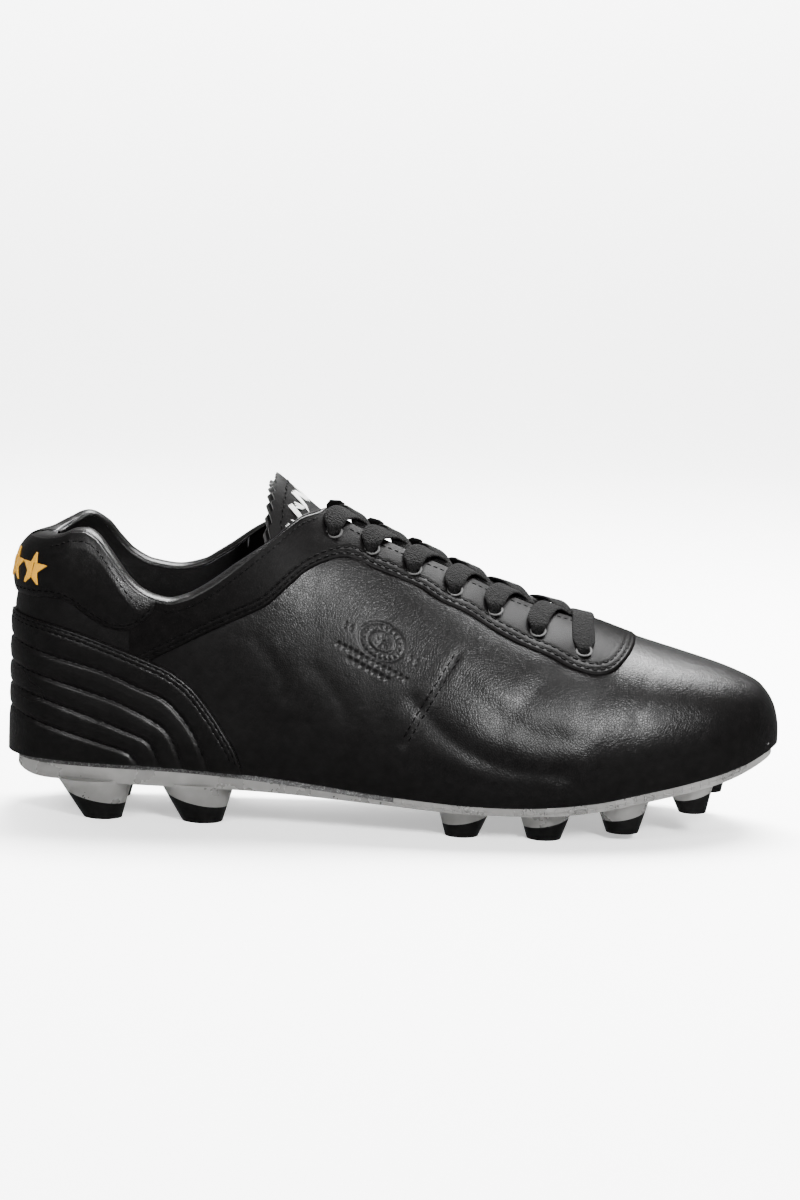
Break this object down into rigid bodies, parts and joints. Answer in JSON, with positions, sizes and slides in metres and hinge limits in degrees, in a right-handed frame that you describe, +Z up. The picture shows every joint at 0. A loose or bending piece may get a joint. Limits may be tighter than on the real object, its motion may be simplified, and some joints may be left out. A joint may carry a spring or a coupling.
{
  "type": "soccer cleat",
  "caption": "Right football boot in smooth black leather with a laced throat, padded collar and a clear moulded sole with black-tipped studs.",
  "frame": {"origin": "on the ground under the middle of the boot's bounding box, standing on its studs", "axes": "+X to the toe, +Y to the medial side, +Z up"},
  "size_m": [0.2867, 0.0931, 0.1286],
  "materials": {
    "smooth_leather": "satin",
    "tongue_leather_black": "matte",
    "lining_leather": "satin",
    "backing_fabric": "matte",
    "foam_grey": "matte",
    "stiffener_board": "matte",
    "board": "matte",
    "steel_shank": "satin",
    "clear_sole": "gloss",
    "rand_grey": "matte",
    "black_tip": "satin",
    "pin_plastic": "satin",
    "woven_lace": "matte",
    "aglet_plastic": "gloss",
    "black_thread": "satin",
    "white_thread": "satin",
    "gold_thread": "satin"
  },
  "bodies": {
    "root": {"collar_binding": "smooth_leather", "collar_padding": "foam_grey", "eyestay_facing": "smooth_leather", "forefoot_stud_tips": "black_tip", "heel_collar_panel": "smooth_leather", "heel_counter_cover": "smooth_leather", "heel_lining": "lining_leather", "heel_rand": "rand_grey", "heel_stiffener": "stiffener_board", "heel_stud_tips": "black_tip", "insole_board": "board", "lace": "woven_lace", "lace_aglets": "aglet_plastic", "lateral_quarter_lining": "lining_leather", "medial_quarter_lining": "lining_leather", "outsole_plate": "clear_sole", "shank": "steel_shank", "sockliner": "lining_leather", "stud_pins": "pin_plastic", "toe_puff": "stiffener_board", "upper_backing": "backing_fabric", "upper_leather": "smooth_leather", "vamp_lining": "lining_leather"},
    "tongue": {"tongue_leather": "tongue_leather_black", "tongue_foam": "foam_grey", "tongue_lining": "lining_leather"}
  },
  "joints": [
    {"name": "tongue_press", "type": "hinge", "parent": "root", "child": "tongue", "pos_m": [0.082, 0, 0.062], "axis": [0, 1, 0], "range_deg": [-4, 0], "stiffness_Nm_per_rad": 1.2}
  ]
}
